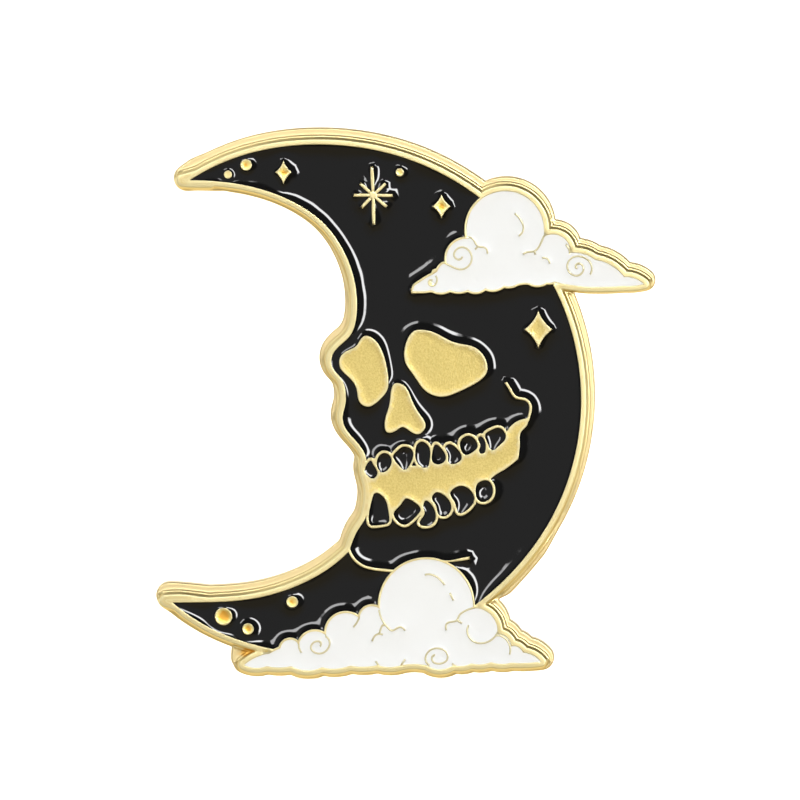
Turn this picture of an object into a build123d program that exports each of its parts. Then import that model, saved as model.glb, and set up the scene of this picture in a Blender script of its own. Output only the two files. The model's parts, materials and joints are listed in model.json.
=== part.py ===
"""Soft enamel pin: a crescent moon with a skull's profile on its inner edge and a cloud at each end.

Millimetres. The pin stands upright: its front faces -Y, its struck back lies in the plane y = 0, and its
two posts point along +Y. The outlines of the art are drawn in the XZ plane, as (x, z), about the middle
of the pin. Levels through the plate are depths in front of the back face.
"""
from build123d import *
from math import cos, radians, sin
import os

# ---- driving dimensions -------------------------------------------------------------------------
RELIEF_TOP = 1.60  # the back face to the top of the raised metal
LEDGE_TOP = 1.25  # to the trimmed ledge outside the rim
CELL_FLOOR = 1.00  # to the recessed floor under the enamel
ENAMEL_TOP = 1.35  # to the enamel's surface, just below the raised metal

RIM = 0.42  # width of the raised line round the whole outline
LEDGE = 0.54  # width of the lower ledge outside it, round the moon
UPPER_CLOUD_LEDGE = 0.38  # and round each cloud
LOWER_CLOUD_LEDGE = 0.50
TRIM_SHIFT = (0.05, 0.26)  # the trimmed outline sits this much to the side and high on the struck art
WALL = 0.20  # width of the raised lines between cells
CLOUD_WALL = 0.16  # and of the line between a cloud and the moon
FINE_LINE = 0.14  # width of the swirls in the clouds
RAY = 0.20  # width of a sunburst's ray
STAR_WAIST = 0.42  # how far out a star's hollow sides stand, over its half width
SPLINE_STEPS = 2  # an outline grown from a smooth one keeps at least this many stretches per edge
SPLINE_STEP = 0.5  # and one more for each of these lengths

POST_R = 0.55
POST_LENGTH = 8.0
POST_TIP = 1.0  # length of the pointed end
TIP_R = 0.10
GROOVE_DEPTH = 0.10
GROOVE_WIDTH = 0.60
GROOVES = (2.16, 3.50)  # heights of the rounded grooves: one under the clutch, one at its jaws
FLANGE_R = 1.30
FLANGE_TOP = 0.15  # height of the post's flange over the back face
PAD_R = 1.80  # recess in the back that takes the flange and its solder
PAD_DEPTH = 0.20
SOLDER_TOP = 0.10
SOLDER_HOLLOW = 0.03

CLUTCH_R = 5.60
CLUTCH_LIFT = 2.40  # the back face to the clutch: the room left for cloth
CLUTCH_HOLE_R = 0.62
HOLE_LEAD = 0.15  # lead-in round the hole
SHEET = 0.35  # thickness of the base and the wings
CUP_HEIGHT = 2.05
ROLL_R = 0.25  # the roll of the rim and of the floor's edge
SHOULDER_R = 4.60
SHOULDER_HEIGHT = 1.20
LIP_R = 4.80
LIP_HEIGHT = 1.80
SPRING_R = 5.05
SPRING_LIFT = 1.35  # the clutch's underside to the underside of its spring plate
SPRING_SHEET = 0.30
PIVOT_OUT = 2.30  # a wing's pivot from the post's axis
PIVOT_UP = 2.15  # and above the clutch's underside
KNUCKLE_R = 0.42
TRUNNION_R = 0.28
EYE_R = 0.34
EAR_R = 0.60
EAR_SHEET = 0.35
EAR_GAP = 0.12  # between a wing's edge and the ear beside it
WINDOW_OUT = 3.05
WING_WIDTH = 4.00
JAW_R = 0.60  # the notch in each jaw
JAW_REACH = 0.35
JAW_UP = 1.10
TAB_BENDS = [(1.00, 0.50), (2.00, 1.55), (3.00, 3.15)]  # out from the pivot and up from it
TAB_BEAD_R = 0.24

# name, x, z of the post, and the turn of its clutch's wings about it, in degrees
POSTS = [("upper", 4.5, 9.4, 0.0), ("lower", 4.0, -9.0, 30.0)]

# ---- the art's outlines, as (x, z) --------------------------------------------------------------
MOON_BACK = [
    (-15.50, 16.20),
    (-11.00, 18.20),
    (-6.00, 18.80),
    (0.00, 17.85),
    (5.45, 15.00),
    (11.15, 8.00),
    (12.85, 0.00),
    (10.85, -8.00),
    (6.00, -13.95),
    (0.00, -17.40),
    (-5.00, -18.30),
    (-9.30, -17.90),
    (-13.05, -16.80),
    (-16.80, -14.50),
]
LOWER_HORN = [
    (-16.80, -14.50),
    (-14.00, -14.46),
    (-11.00, -14.20),
    (-8.00, -13.35),
    (-6.00, -12.35),
    (-3.95, -10.70),
]
PROFILE = [
    (-3.95, -10.70),
    (-3.72, -10.05),
    (-3.40, -9.30),
    (-2.85, -8.45),
    (-2.58, -7.50),
    (-2.50, -6.50),
    (-2.65, -5.60),
    (-2.80, -4.80),
    (-2.72, -4.00),
    (-3.00, -3.30),
    (-3.50, -2.65),
    (-4.10, -1.95),
    (-4.43, -1.10),
    (-4.22, 0.00),
    (-4.22, 0.90),
    (-4.50, 1.80),
    (-5.18, 2.70),
    (-5.18, 3.50),
    (-4.60, 4.25),
    (-3.85, 5.00),
    (-3.48, 6.00),
    (-3.38, 7.30),
    (-3.60, 9.10),
    (-4.30, 11.00),
    (-5.55, 12.85),
    (-7.93, 14.61),
    (-11.47, 15.84),
    (-15.50, 16.20),
]

# the raised metal runs on past the tip of each horn's enamel
UPPER_TIP = [(-14.00, 16.90), (-16.05, 16.22), (-16.05, 16.10), (-14.00, 16.05)]
LOWER_TIP = [
    (-14.50, -14.46), (-16.20, -14.26), (-17.30, -14.32), (-17.35, -14.42), (-16.60, -14.68),
    (-14.50, -15.60),
]

# The trimmed ledge follows the art, but is blunter at the horns, fills the corner between the lower horn and
# its cloud, and is wider where the moon's back comes down to that cloud.
UPPER_BLUNT = [(-13.40, 17.33), (-15.07, 16.63), (-15.80, 16.10), (-15.20, 16.12), (-13.40, 16.10)]
LOWER_BLUNT = [(-14.50, -14.45), (-17.14, -14.24), (-17.10, -14.36), (-16.20, -14.95), (-14.50, -15.60)]
LEFT_CORNER = [(-11.55, -17.00), (-11.70, -18.75), (-11.30, -18.95), (-10.20, -18.50), (-10.20, -17.50)]
RIGHT_CORNER = [
    (6.30, -13.70), (7.05, -13.30), (8.23, -12.03), (9.40, -10.61), (10.80, -8.10), (8.50, -10.80),
]

# Clouds are rounds between corners: x, z of a corner, then how far the edge to the next one bulges out.
UPPER_CLOUD = [
    (0.55, 8.20, -0.06),
    (0.75, 8.55, 0.04),
    (2.20, 9.45, 0.14),
    (2.42, 9.60, 0.06),
    (2.85, 10.18, 0.02),
    (3.15, 10.10, 0.62),
    (4.62, 12.00, 3.40),
    (10.10, 12.10, 0.72),
    (12.05, 10.98, 0.18),
    (13.85, 10.50, 0.24),
    (15.95, 9.25, 0.16),
    (17.38, 8.74, 0.05),
    (16.00, 8.60, 0.04),
    (13.20, 8.54, 0.03),
    (10.80, 8.88, 0.04),
    (10.35, 8.85, 0.18),
    (9.10, 8.80, -0.06),
    (8.20, 8.72, 0.10),
    (7.25, 8.60, 0.20),
    (5.90, 8.42, 0.22),
    (4.65, 8.30, 0.14),
    (3.35, 8.28, 0.16),
    (2.10, 8.24, 0.03),
]
LOWER_CLOUD = [
    (-11.60, -19.05, 0.16),
    (-9.75, -18.20, 0.02),
    (-8.95, -17.80, 0.50),
    (-7.62, -17.55, 0.62),
    (-5.62, -16.88, 0.98),
    (-3.20, -15.62, 0.52),
    (-1.72, -14.92, 3.60),
    (5.02, -14.85, 0.64),
    (6.78, -16.72, 0.30),
    (7.80, -17.60, 0.20),
    (8.65, -18.05, 0.16),
    (9.95, -18.70, 0.05),
    (7.75, -18.80, 0.10),
    (6.35, -18.76, 0.10),
    (4.90, -18.86, 0.12),
    (3.60, -18.98, 0.30),
    (1.70, -19.02, -0.10),
    (-0.15, -19.00, 0.14),
    (-1.90, -19.00, 0.10),
    (-3.90, -19.05, 0.16),
    (-5.95, -19.18, 0.26),
    (-8.15, -19.12, 0.08),
    (-10.00, -19.12, 0.16),
]

LEFT_EYE = [
    (-2.60, 4.95),
    (-1.95, 4.50),
    (-1.45, 3.55),
    (-1.12, 2.00),
    (-1.18, 1.05),
    (-1.80, 0.25),
    (-2.60, -0.20),
    (-3.15, 0.05),
    (-3.42, 1.05),
    (-4.00, 1.95),
    (-4.62, 2.65),
    (-4.62, 3.35),
    (-4.05, 3.88),
    (-3.45, 4.20),
    (-3.10, 4.72),
]
RIGHT_EYE = [
    (1.10, 5.40),
    (2.40, 5.12),
    (3.60, 4.52),
    (5.15, 4.12),
    (5.90, 3.35),
    (6.02, 2.30),
    (5.20, 1.50),
    (4.00, 0.90),
    (2.80, 0.53),
    (1.55, 0.98),
    (0.75, 2.05),
    (0.12, 3.00),
    (0.08, 4.10),
]
NOSE = [
    (-0.40, 1.52),
    (0.05, 1.32),
    (0.60, 0.30),
    (1.25, -0.85),
    (1.58, -1.60),
    (1.10, -2.18),
    (0.50, -2.00),
    (-0.10, -1.68),
    (-0.70, -2.02),
    (-1.20, -2.05),
    (-1.38, -1.30),
    (-1.02, 0.10),
]

UPPER_TEETH = [
    [(-2.32, -4.14), (-2.18, -4.45), (-1.92, -5.08), (-2.22, -5.42), (-2.62, -5.20), (-2.80, -4.70)],
    [(-1.35, -3.57), (-1.02, -3.75), (-0.92, -4.42), (-1.62, -4.96), (-1.94, -4.40), (-1.78, -3.78)],
    [(0.12, -3.10), (0.66, -3.45), (0.48, -4.35), (0.10, -4.78), (-0.42, -4.36), (-0.76, -3.80),
     (-0.35, -3.30)],
    [(1.42, -2.74), (1.80, -3.05), (1.89, -4.05), (1.68, -4.60), (1.13, -4.42), (0.86, -3.40), (1.02, -2.88)],
    [(2.38, -2.92), (2.70, -3.18), (3.02, -4.05), (2.62, -4.36), (2.19, -4.28), (2.11, -3.40)],
    [(3.38, -2.90), (3.75, -3.12), (4.18, -3.98), (3.80, -4.30), (3.32, -4.28), (3.18, -3.55), (3.06, -3.06)],
    [(4.40, -2.38), (5.08, -2.46), (5.34, -3.10), (4.95, -3.52), (4.50, -3.68), (4.09, -3.02)],
    [(5.62, -2.32), (5.86, -2.62), (5.94, -3.20), (5.76, -3.60), (5.50, -3.52), (5.56, -2.95), (5.42, -2.45)],
    [(6.55, -1.78), (7.16, -1.84), (7.40, -2.40), (6.95, -2.98), (6.40, -3.34), (6.10, -2.85), (5.92, -2.20)],
]
LOWER_TEETH = [
    [(-1.95, -6.45), (-1.40, -6.85), (-1.10, -7.90), (-1.12, -8.62), (-1.75, -8.78), (-2.40, -8.78),
     (-2.52, -8.05),
     (-2.28, -6.90)],
    [(0.24, -6.86), (0.80, -7.14), (1.22, -7.62), (0.76, -8.30), (0.00, -8.76), (-0.72, -7.98),
     (-0.20, -7.30)],
    [(1.68, -7.00), (2.08, -7.40), (2.30, -8.35), (1.90, -8.80), (1.15, -8.68), (1.52, -7.95), (1.45, -7.24)],
    [(2.45, -6.40), (3.08, -6.74), (3.45, -7.55), (3.05, -8.12), (2.58, -8.05), (2.33, -7.32), (2.06, -6.80)],
    [(4.05, -5.94), (4.72, -6.14), (5.12, -6.85), (4.78, -7.52), (4.02, -7.90), (3.70, -7.10), (3.38, -6.50)],
    [(5.68, -5.56), (6.25, -5.66), (6.46, -6.40), (6.20, -6.92), (5.56, -7.05), (5.22, -6.30)],
]
GUSSET = [(0.74, -4.15), (0.92, -4.48), (0.58, -4.48)]  # the tiny cell between two upper teeth

# bare metal of the open mouth, behind the teeth's own outlines
MOUTH = [
    (-3.60, -4.90),
    (-2.00, -4.60),
    (0.60, -4.00),
    (3.00, -4.00),
    (5.00, -3.20),
    (6.90, -2.70),
    (7.45, -1.98),
    (7.85, -1.50),
    (8.40, -1.15),
    (9.05, -0.98),
    (9.00, -1.40),
    (8.50, -2.05),
    (8.42, -3.20),
    (8.30, -3.98),
    (7.60, -4.55),
    (6.36, -5.40),
    (5.60, -6.20),
    (2.60, -7.20),
    (0.30, -7.60),
    (-1.60, -7.20),
    (-3.60, -8.60),
]
CHEEK = [(9.00, -1.15), (9.16, -0.60), (9.14, 0.05), (8.85, 0.34), (8.15, 0.52), (7.80, 0.95), (7.38, 1.62)]
CHIN = [(-3.95, -10.62), (-3.65, -11.22), (-3.10, -11.70), (-2.20, -11.99), (-0.70, -12.16)]
CHIN_TAIL = [(2.60, -11.45), (3.80, -11.30), (4.82, -11.17)]

# four-pointed stars: x, z, half width, half height
STARS = [(-8.71, 16.79, 0.60, 0.86), (2.74, 14.34, 0.68, 0.86), (9.76, 5.44, 1.02, 1.36)]
# dots: x, z, radius
DOTS = [(-12.74, 16.62, 0.30), (-11.42, 17.32, 0.42), (-0.28, 16.80, 0.30)]
DOTS += [(-13.10, -15.50, 0.64), (-11.32, -16.40, 0.42), (-8.10, -14.42, 0.42)]
BURST = (-2.21, 15.14)
# sunburst rays: x and z of the tip from the centre
RAYS = [(-0.10, 2.10), (0.05, -2.15), (-1.45, 0.00), (1.45, -0.02)]
RAYS += [(-0.95, 0.86), (0.92, 0.86), (-0.86, -0.92), (1.00, -0.86)]

UPPER_SWIRLS = [
    [(8.00, 13.85), (8.48, 13.35), (8.65, 12.65), (8.30, 12.20)],
    [(10.10, 12.10), (9.86, 11.55), (9.45, 11.10), (9.05, 11.05), (8.62, 10.85)],
    [(9.45, 11.10), (9.55, 10.82)],
    [(10.00, 10.60), (10.30, 10.60), (10.52, 10.42), (10.55, 10.18)],
    [(4.55, 12.08), (5.05, 11.92), (5.38, 11.45), (5.80, 11.38), (6.05, 10.88)],
    [(5.38, 11.45), (5.15, 11.20)],
    [(4.25, 10.72), (4.00, 10.48), (3.66, 10.72), (3.78, 11.18), (4.30, 11.38), (4.82, 11.00), (4.88, 10.30),
     (4.25, 9.78), (3.60, 9.92), (3.10, 10.18)],
    [(2.12, 8.95), (1.82, 8.92), (1.86, 8.66), (2.18, 8.60), (2.38, 8.84), (2.30, 9.30)],
    [(12.60, 9.85), (12.42, 10.00), (12.62, 10.22), (13.00, 9.95), (12.72, 9.38), (12.10, 9.48),
     (11.84, 10.05),
     (12.20, 10.64), (12.90, 10.70), (13.50, 10.28), (13.62, 9.80), (13.48, 9.40)],
    [(11.72, 11.62), (11.98, 11.20), (12.02, 10.85)],
]
LOWER_SWIRLS = [
    [(1.50, -12.42), (2.10, -12.42), (2.60, -12.72), (2.98, -13.18)],
    [(3.34, -13.70), (3.62, -14.30)],
    [(5.05, -14.82), (4.40, -15.06), (4.00, -15.42), (3.88, -15.70), (3.38, -15.84), (3.10, -16.48)],
    [(3.88, -15.70), (4.25, -15.96)],
    [(4.74, -16.05), (4.62, -16.60), (5.00, -17.20), (5.70, -17.38), (6.38, -17.12), (6.78, -16.66)],
    [(6.70, -16.82), (7.20, -16.90), (7.62, -17.35), (7.68, -18.22)],
    [(1.90, -19.02), (1.58, -18.52), (1.84, -17.96), (2.50, -17.76), (3.10, -18.05), (3.14, -18.60),
     (2.60, -18.88),
     (2.10, -18.70), (2.08, -18.35), (2.30, -18.25)],
    [(3.48, -18.86), (3.80, -19.08)],
    [(-5.68, -16.92), (-5.38, -17.45), (-5.72, -18.04), (-6.30, -18.16), (-6.74, -17.80), (-6.52, -17.36),
     (-6.05, -17.34), (-6.10, -17.68)],
    [(-7.64, -17.50), (-7.56, -17.90), (-7.42, -18.16)],
    [(-3.24, -15.55), (-3.40, -15.90), (-3.68, -16.26)],
    [(-1.80, -14.95), (-1.66, -15.50), (-1.32, -16.08)],
    [(-1.74, -16.62), (-1.32, -16.10), (-0.88, -16.48), (-0.40, -16.26), (0.10, -16.50)],
    [(-1.48, -16.80), (-1.92, -16.76), (-2.30, -17.30)],
    [(0.12, -18.55), (-0.15, -18.95)],
    [(-2.06, -18.68), (-1.88, -18.95)],
]


# ---- outlines as faces --------------------------------------------------------------------------
def smooth_face(points):
    """The face inside one smooth closed curve."""
    with BuildSketch() as face:
        with BuildLine():
            Spline(*points, periodic=True)
        make_face()
    return face.sketch


def cornered_face(points):
    """The face inside straight lines."""
    with BuildSketch() as face:
        with BuildLine():
            Polyline(*points, close=True)
        make_face()
    return face.sketch


def moon_face():
    """The crescent: its back, the lower horn's inner edge, and the skull's profile up to the upper horn."""
    with BuildSketch() as face:
        with BuildLine():
            Spline(*MOON_BACK)
            Spline(*LOWER_HORN)
            Spline(*PROFILE)
        make_face()
    return face.sketch


def cloud_face(corners):
    """A cloud's outline, one arc from each corner to the next. It runs clockwise, so a bulge is positive."""
    ends = corners[1:] + corners[:1]
    with BuildSketch() as face:
        with BuildLine():
            for (x, z, bulge), (next_x, next_z, _) in zip(corners, ends):
                SagittaArc((x, z), (next_x, next_z), bulge)
        make_face()
    return face.sketch


def stroke(points, width):
    """A raised line of one width along a smooth curve, with round ends."""
    with BuildSketch() as line:
        with BuildLine() as route:
            if len(points) == 2:
                Line(*points)
            else:
                Spline(*points)
        trace(route.line, line_width=width)
        with Locations(points[0], points[-1]):
            Circle(width / 2)
    return line.sketch


def star(x, z, half_width, half_height):
    """A four-pointed star with hollow sides."""
    across = half_width * STAR_WAIST
    up = half_height * STAR_WAIST
    with BuildSketch() as face:
        with BuildLine():
            ThreePointArc((x, z + half_height), (x + across, z + up), (x + half_width, z))
            ThreePointArc((x + half_width, z), (x + across, z - up), (x, z - half_height))
            ThreePointArc((x, z - half_height), (x - across, z - up), (x - half_width, z))
            ThreePointArc((x - half_width, z), (x - across, z + up), (x, z + half_height))
        make_face()
    return face.sketch


def widened(face, amount):
    """The face grown by one width all round, its smooth edges drawn again as plain splines."""
    with BuildSketch() as grown:
        add(face)
        offset(amount=amount, kind=Kind.ARC)
    with BuildSketch() as outline:
        with BuildLine():
            for edge in grown.sketch.edges():
                if edge.geom_type == GeomType.OFFSET:
                    steps = SPLINE_STEPS + int(edge.length / SPLINE_STEP)
                    points = [edge @ (step / steps) for step in range(steps + 1)]
                    Spline(*points, tangents=(edge % 0, edge % 1))
                else:
                    add(edge)
        make_face()
    return outline.sketch


def joined(faces):
    """One sketch of all the faces."""
    with BuildSketch() as whole:
        for face in faces:
            add(face)
    return whole.sketch


def cut_from(face, tools):
    """The face with every tool taken out of it."""
    with BuildSketch() as rest:
        add(face)
        for tool in tools:
            add(tool, mode=Mode.SUBTRACT)
    return rest.sketch


def dots():
    """The round dots of both horns."""
    with BuildSketch() as spots:
        for x, z, radius in DOTS:
            with Locations((x, z)):
                Circle(radius)
    return spots.sketch


def sunburst():
    """The eight thin rays, from one centre."""
    x, z = BURST
    return joined([stroke([BURST, (x + across, z + up)], RAY) for across, up in RAYS])


# ---- the cells that the enamel fills, and the metal between them --------------------------------
moon = moon_face()
upper_cloud = cloud_face(UPPER_CLOUD)
lower_cloud = cloud_face(LOWER_CLOUD)
struck_moon = joined([moon, cornered_face(UPPER_TIP), cornered_face(LOWER_TIP)])
ledge_fills = [cornered_face(points) for points in (UPPER_BLUNT, LOWER_BLUNT, LEFT_CORNER, RIGHT_CORNER)]
trimmed_moon = joined([moon] + ledge_fills)
rim_outline = joined([widened(face, RIM) for face in (struck_moon, upper_cloud, lower_cloud)])
ledge_outline = joined(
    [
        widened(trimmed_moon, RIM + LEDGE),
        widened(upper_cloud, RIM + UPPER_CLOUD_LEDGE),
        widened(lower_cloud, RIM + LOWER_CLOUD_LEDGE),
    ]
)

upper_teeth = [smooth_face(points) for points in UPPER_TEETH]
lower_teeth = [smooth_face(points) for points in LOWER_TEETH]
teeth_metal = [widened(tooth, WALL) for tooth in upper_teeth + lower_teeth]
cloud_metal = [widened(upper_cloud, CLOUD_WALL), widened(lower_cloud, CLOUD_WALL)]
skull_metal = [smooth_face(LEFT_EYE), smooth_face(RIGHT_EYE), smooth_face(NOSE), cornered_face(MOUTH)]
line_metal = [stroke(points, WALL) for points in (CHEEK, CHIN, CHIN_TAIL)]
sky_metal = [star(*place) for place in STARS] + [dots(), sunburst()]
field = cut_from(moon, cloud_metal + teeth_metal + skull_metal + line_metal + sky_metal)
horn_cell, moon_cell = field.faces().sort_by(SortBy.AREA)[-2:]

cells = {
    "moon_enamel": moon_cell,
    "horn_enamel": horn_cell,
    "tooth_gap_enamel": cornered_face(GUSSET),
    "upper_cloud_enamel": cut_from(upper_cloud, [stroke(points, FINE_LINE) for points in UPPER_SWIRLS]),
    "lower_cloud_enamel": cut_from(lower_cloud, [stroke(points, FINE_LINE) for points in LOWER_SWIRLS]),
}
for number, tooth in enumerate(upper_teeth, 1):
    cells[f"upper_tooth_enamel_{number}"] = tooth
for number, tooth in enumerate(lower_teeth, 1):
    cells[f"lower_tooth_enamel_{number}"] = tooth


# ---- the pieces ---------------------------------------------------------------------------------
os.makedirs("parts", exist_ok=True)


def write(piece, label):
    """Name a finished piece and write its STEP."""
    piece.part.label = label
    export_step(piece.part, f"parts/{label}.step")


# The struck plate: one solid of brass, with a trimmed ledge, a raised rim and raised lines, and a
# shallow round recess in its back for each post.
with BuildPart() as pin_plate:
    with BuildSketch(Plane.XZ):
        with Locations(TRIM_SHIFT):
            add(ledge_outline)
    extrude(amount=LEDGE_TOP)
    with BuildSketch(Plane.XZ.offset(LEDGE_TOP)):
        add(rim_outline)
    extrude(amount=RELIEF_TOP - LEDGE_TOP)
    with BuildSketch(Plane.XZ.offset(CELL_FLOOR)):
        for cell in cells.values():
            add(cell)
    extrude(amount=RELIEF_TOP - CELL_FLOOR, mode=Mode.SUBTRACT)
    with BuildSketch(Plane.XZ):
        with Locations(*[(x, z) for _, x, z, _ in POSTS]):
            Circle(PAD_R)
    extrude(amount=PAD_DEPTH, mode=Mode.SUBTRACT)
write(pin_plate, "pin_plate")

# The enamel: each cell's own poured piece, standing a little lower than the metal round it.
for name, cell in cells.items():
    with BuildPart() as enamel:
        with BuildSketch(Plane.XZ.offset(CELL_FLOOR)):
            add(cell)
        extrude(amount=ENAMEL_TOP - CELL_FLOOR)
    write(enamel, name)


def across(x, z, turn=0.0):
    """The plane through a post's axis: its local x leads away from the post at the turn, local y is +Y."""
    angle = radians(turn)
    return Plane(origin=(x, 0, z), x_dir=(cos(angle), 0, sin(angle)), z_dir=(-sin(angle), 0, cos(angle)))


def facing(x, z, height, turn=0.0):
    """The plane square to a post's axis at a height over the back face, with its local x at the turn."""
    angle = radians(turn)
    return Plane(origin=(x, height, z), x_dir=(cos(angle), 0, sin(angle)), z_dir=(0, 1, 0))


def post(x, z):
    """A flanged nail with two rounded grooves and a sharp tip, from the floor of its recess."""
    flange = [(0, -PAD_DEPTH), (FLANGE_R, -PAD_DEPTH), (FLANGE_R, FLANGE_TOP), (POST_R, FLANGE_TOP)]
    tip = [(POST_R, POST_LENGTH - POST_TIP), (TIP_R, POST_LENGTH), (0, POST_LENGTH)]
    with BuildPart() as nail:
        with BuildSketch(across(x, z)):
            with BuildLine():
                Polyline(*flange, *tip, close=True)
            make_face()
            for middle in GROOVES:
                with BuildLine():
                    low = (POST_R, middle - GROOVE_WIDTH / 2)
                    high = (POST_R, middle + GROOVE_WIDTH / 2)
                    ThreePointArc(low, (POST_R - GROOVE_DEPTH, middle), high)
                    Line(high, low)
                make_face(mode=Mode.SUBTRACT)
        revolve(axis=Axis((x, 0, z), (0, 1, 0)))
    return nail


def solder(x, z):
    """The ring of solder that fills the recess round a post's flange and wets up the flange's edge."""
    with BuildPart() as ring:
        with BuildSketch(across(x, z)):
            with BuildLine():
                Polyline((FLANGE_R, SOLDER_TOP), (FLANGE_R, -PAD_DEPTH), (PAD_R, -PAD_DEPTH), (PAD_R, 0))
                SagittaArc((PAD_R, 0), (FLANGE_R, SOLDER_TOP), SOLDER_HOLLOW)
            make_face()
        revolve(axis=Axis((x, 0, z), (0, 1, 0)))
    return ring


def clutch_base(x, z):
    """The cup of a butterfly clutch: a floor with the post's hole, a shoulder, and a rim rolled inwards."""
    floor = CLUTCH_LIFT
    bead = ROLL_R
    wall_in = CLUTCH_R - SHEET
    with BuildPart() as cup:
        with BuildSketch(across(x, z)):
            with BuildLine():
                Polyline(
                    (CLUTCH_R - bead, floor),
                    (CLUTCH_HOLE_R + HOLE_LEAD, floor),
                    (CLUTCH_HOLE_R, floor + HOLE_LEAD),
                    (CLUTCH_HOLE_R, floor + SHEET),
                    (SHOULDER_R, floor + SHEET),
                    (SHOULDER_R, floor + SHOULDER_HEIGHT),
                    (wall_in, floor + SHOULDER_HEIGHT),
                    (wall_in, floor + LIP_HEIGHT),
                    (LIP_R, floor + LIP_HEIGHT),
                    (LIP_R + bead / 2, floor + CUP_HEIGHT),
                    (CLUTCH_R - bead, floor + CUP_HEIGHT),
                )
                RadiusArc((CLUTCH_R - bead, floor + CUP_HEIGHT), (CLUTCH_R, floor + CUP_HEIGHT - bead), bead)
                Line((CLUTCH_R, floor + CUP_HEIGHT - bead), (CLUTCH_R, floor + bead))
                RadiusArc((CLUTCH_R, floor + bead), (CLUTCH_R - bead, floor), bead)
            make_face()
        revolve(axis=Axis((x, 0, z), (0, 1, 0)))
    return cup


def spring_plate(x, z, turn):
    """The sheet disc held under the rolled rim, with a window for the wings and an ear at each pivot."""
    underside = CLUTCH_LIFT + SPRING_LIFT
    window = WING_WIDTH / 2 + EAR_GAP
    with BuildPart() as disc:
        with BuildSketch(facing(x, z, underside, turn)):
            Circle(SPRING_R)
            RectangleRounded(2 * WINDOW_OUT, 2 * window, EAR_GAP, mode=Mode.SUBTRACT)
        extrude(amount=SPRING_SHEET)
        for side in (-1, 1):
            ear_plane = across(x, z, turn).offset(side * (window + EAR_SHEET / 2))
            with BuildSketch(ear_plane):
                with Locations((-PIVOT_OUT, CLUTCH_LIFT + PIVOT_UP), (PIVOT_OUT, CLUTCH_LIFT + PIVOT_UP)):
                    Circle(EAR_R)
                with Locations((-PIVOT_OUT, underside), (PIVOT_OUT, underside)):
                    Rectangle(2 * EAR_R, PIVOT_UP - SPRING_LIFT, align=(Align.CENTER, Align.MIN))
                with Locations((-PIVOT_OUT, CLUTCH_LIFT + PIVOT_UP), (PIVOT_OUT, CLUTCH_LIFT + PIVOT_UP)):
                    Circle(EYE_R, mode=Mode.SUBTRACT)
            extrude(amount=EAR_SHEET / 2, both=True)
    return disc


def wing(x, z, turn):
    """One wing: a bent strip with a notched jaw, a knuckle with two trunnions, and a finger tab."""
    pivot_y = CLUTCH_LIFT + PIVOT_UP
    bend = [(PIVOT_OUT + out, pivot_y + up) for out, up in TAB_BENDS]
    side_view = across(x, z, turn)
    with BuildPart() as strip:
        with BuildSketch(side_view):
            with BuildLine() as leg:
                Line((JAW_REACH, CLUTCH_LIFT + JAW_UP), (PIVOT_OUT, pivot_y))
            trace(leg.line, line_width=SHEET)
            with BuildLine() as tab:
                Spline((PIVOT_OUT, pivot_y), *bend)
            trace(tab.line, line_width=SHEET)
            with Locations((PIVOT_OUT, pivot_y)):
                Circle(KNUCKLE_R)
            with Locations(bend[-1]):
                Circle(TAB_BEAD_R)
        extrude(amount=WING_WIDTH / 2, both=True)
        with BuildSketch(side_view):
            with Locations((PIVOT_OUT, pivot_y)):
                Circle(TRUNNION_R)
        extrude(amount=WING_WIDTH / 2 + EAR_GAP + EAR_SHEET, both=True)
        with BuildSketch(facing(x, z, CLUTCH_LIFT)):
            Circle(JAW_R)
        extrude(amount=PIVOT_UP, mode=Mode.SUBTRACT)
    return strip


for name, x, z, turn in POSTS:
    write(post(x, z), f"post_{name}")
    write(solder(x, z), f"solder_{name}")
    write(clutch_base(x, z), f"clutch_{name}_base")
    write(spring_plate(x, z, turn), f"clutch_{name}_spring_plate")
    write(wing(x, z, turn), f"clutch_{name}_wing_a")
    write(wing(x, z, turn + 180), f"clutch_{name}_wing_b")
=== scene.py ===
"""The looks of the enamel pin: rounded struck metal, poured enamel with its meniscus, brass clutches.

Blender works in metres. The drawing below is done in millimetres, as (x, z) with a depth in front of the
back face, and turned into metres when a piece is made. Every outline and level comes from the frame.
"""
import json
import math

import bpy
import numpy as np
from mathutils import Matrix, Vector
from mathutils.geometry import delaunay_2d_cdt
from mathutils.kdtree import KDTree


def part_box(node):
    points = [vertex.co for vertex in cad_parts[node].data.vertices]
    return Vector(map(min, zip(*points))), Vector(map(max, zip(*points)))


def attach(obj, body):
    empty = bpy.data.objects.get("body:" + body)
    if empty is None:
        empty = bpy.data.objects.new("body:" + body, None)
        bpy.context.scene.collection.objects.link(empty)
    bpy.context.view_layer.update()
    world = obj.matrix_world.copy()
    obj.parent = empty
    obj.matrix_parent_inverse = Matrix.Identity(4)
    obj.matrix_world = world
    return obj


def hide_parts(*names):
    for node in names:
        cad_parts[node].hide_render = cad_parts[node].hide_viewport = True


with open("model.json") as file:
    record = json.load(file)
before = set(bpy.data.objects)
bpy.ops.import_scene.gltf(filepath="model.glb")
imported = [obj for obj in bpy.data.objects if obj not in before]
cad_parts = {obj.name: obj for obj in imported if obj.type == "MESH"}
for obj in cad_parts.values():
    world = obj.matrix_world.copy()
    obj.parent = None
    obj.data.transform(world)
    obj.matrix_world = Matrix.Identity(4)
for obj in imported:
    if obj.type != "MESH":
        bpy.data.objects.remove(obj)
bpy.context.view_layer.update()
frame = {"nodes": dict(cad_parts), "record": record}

MM = 0.001

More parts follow.
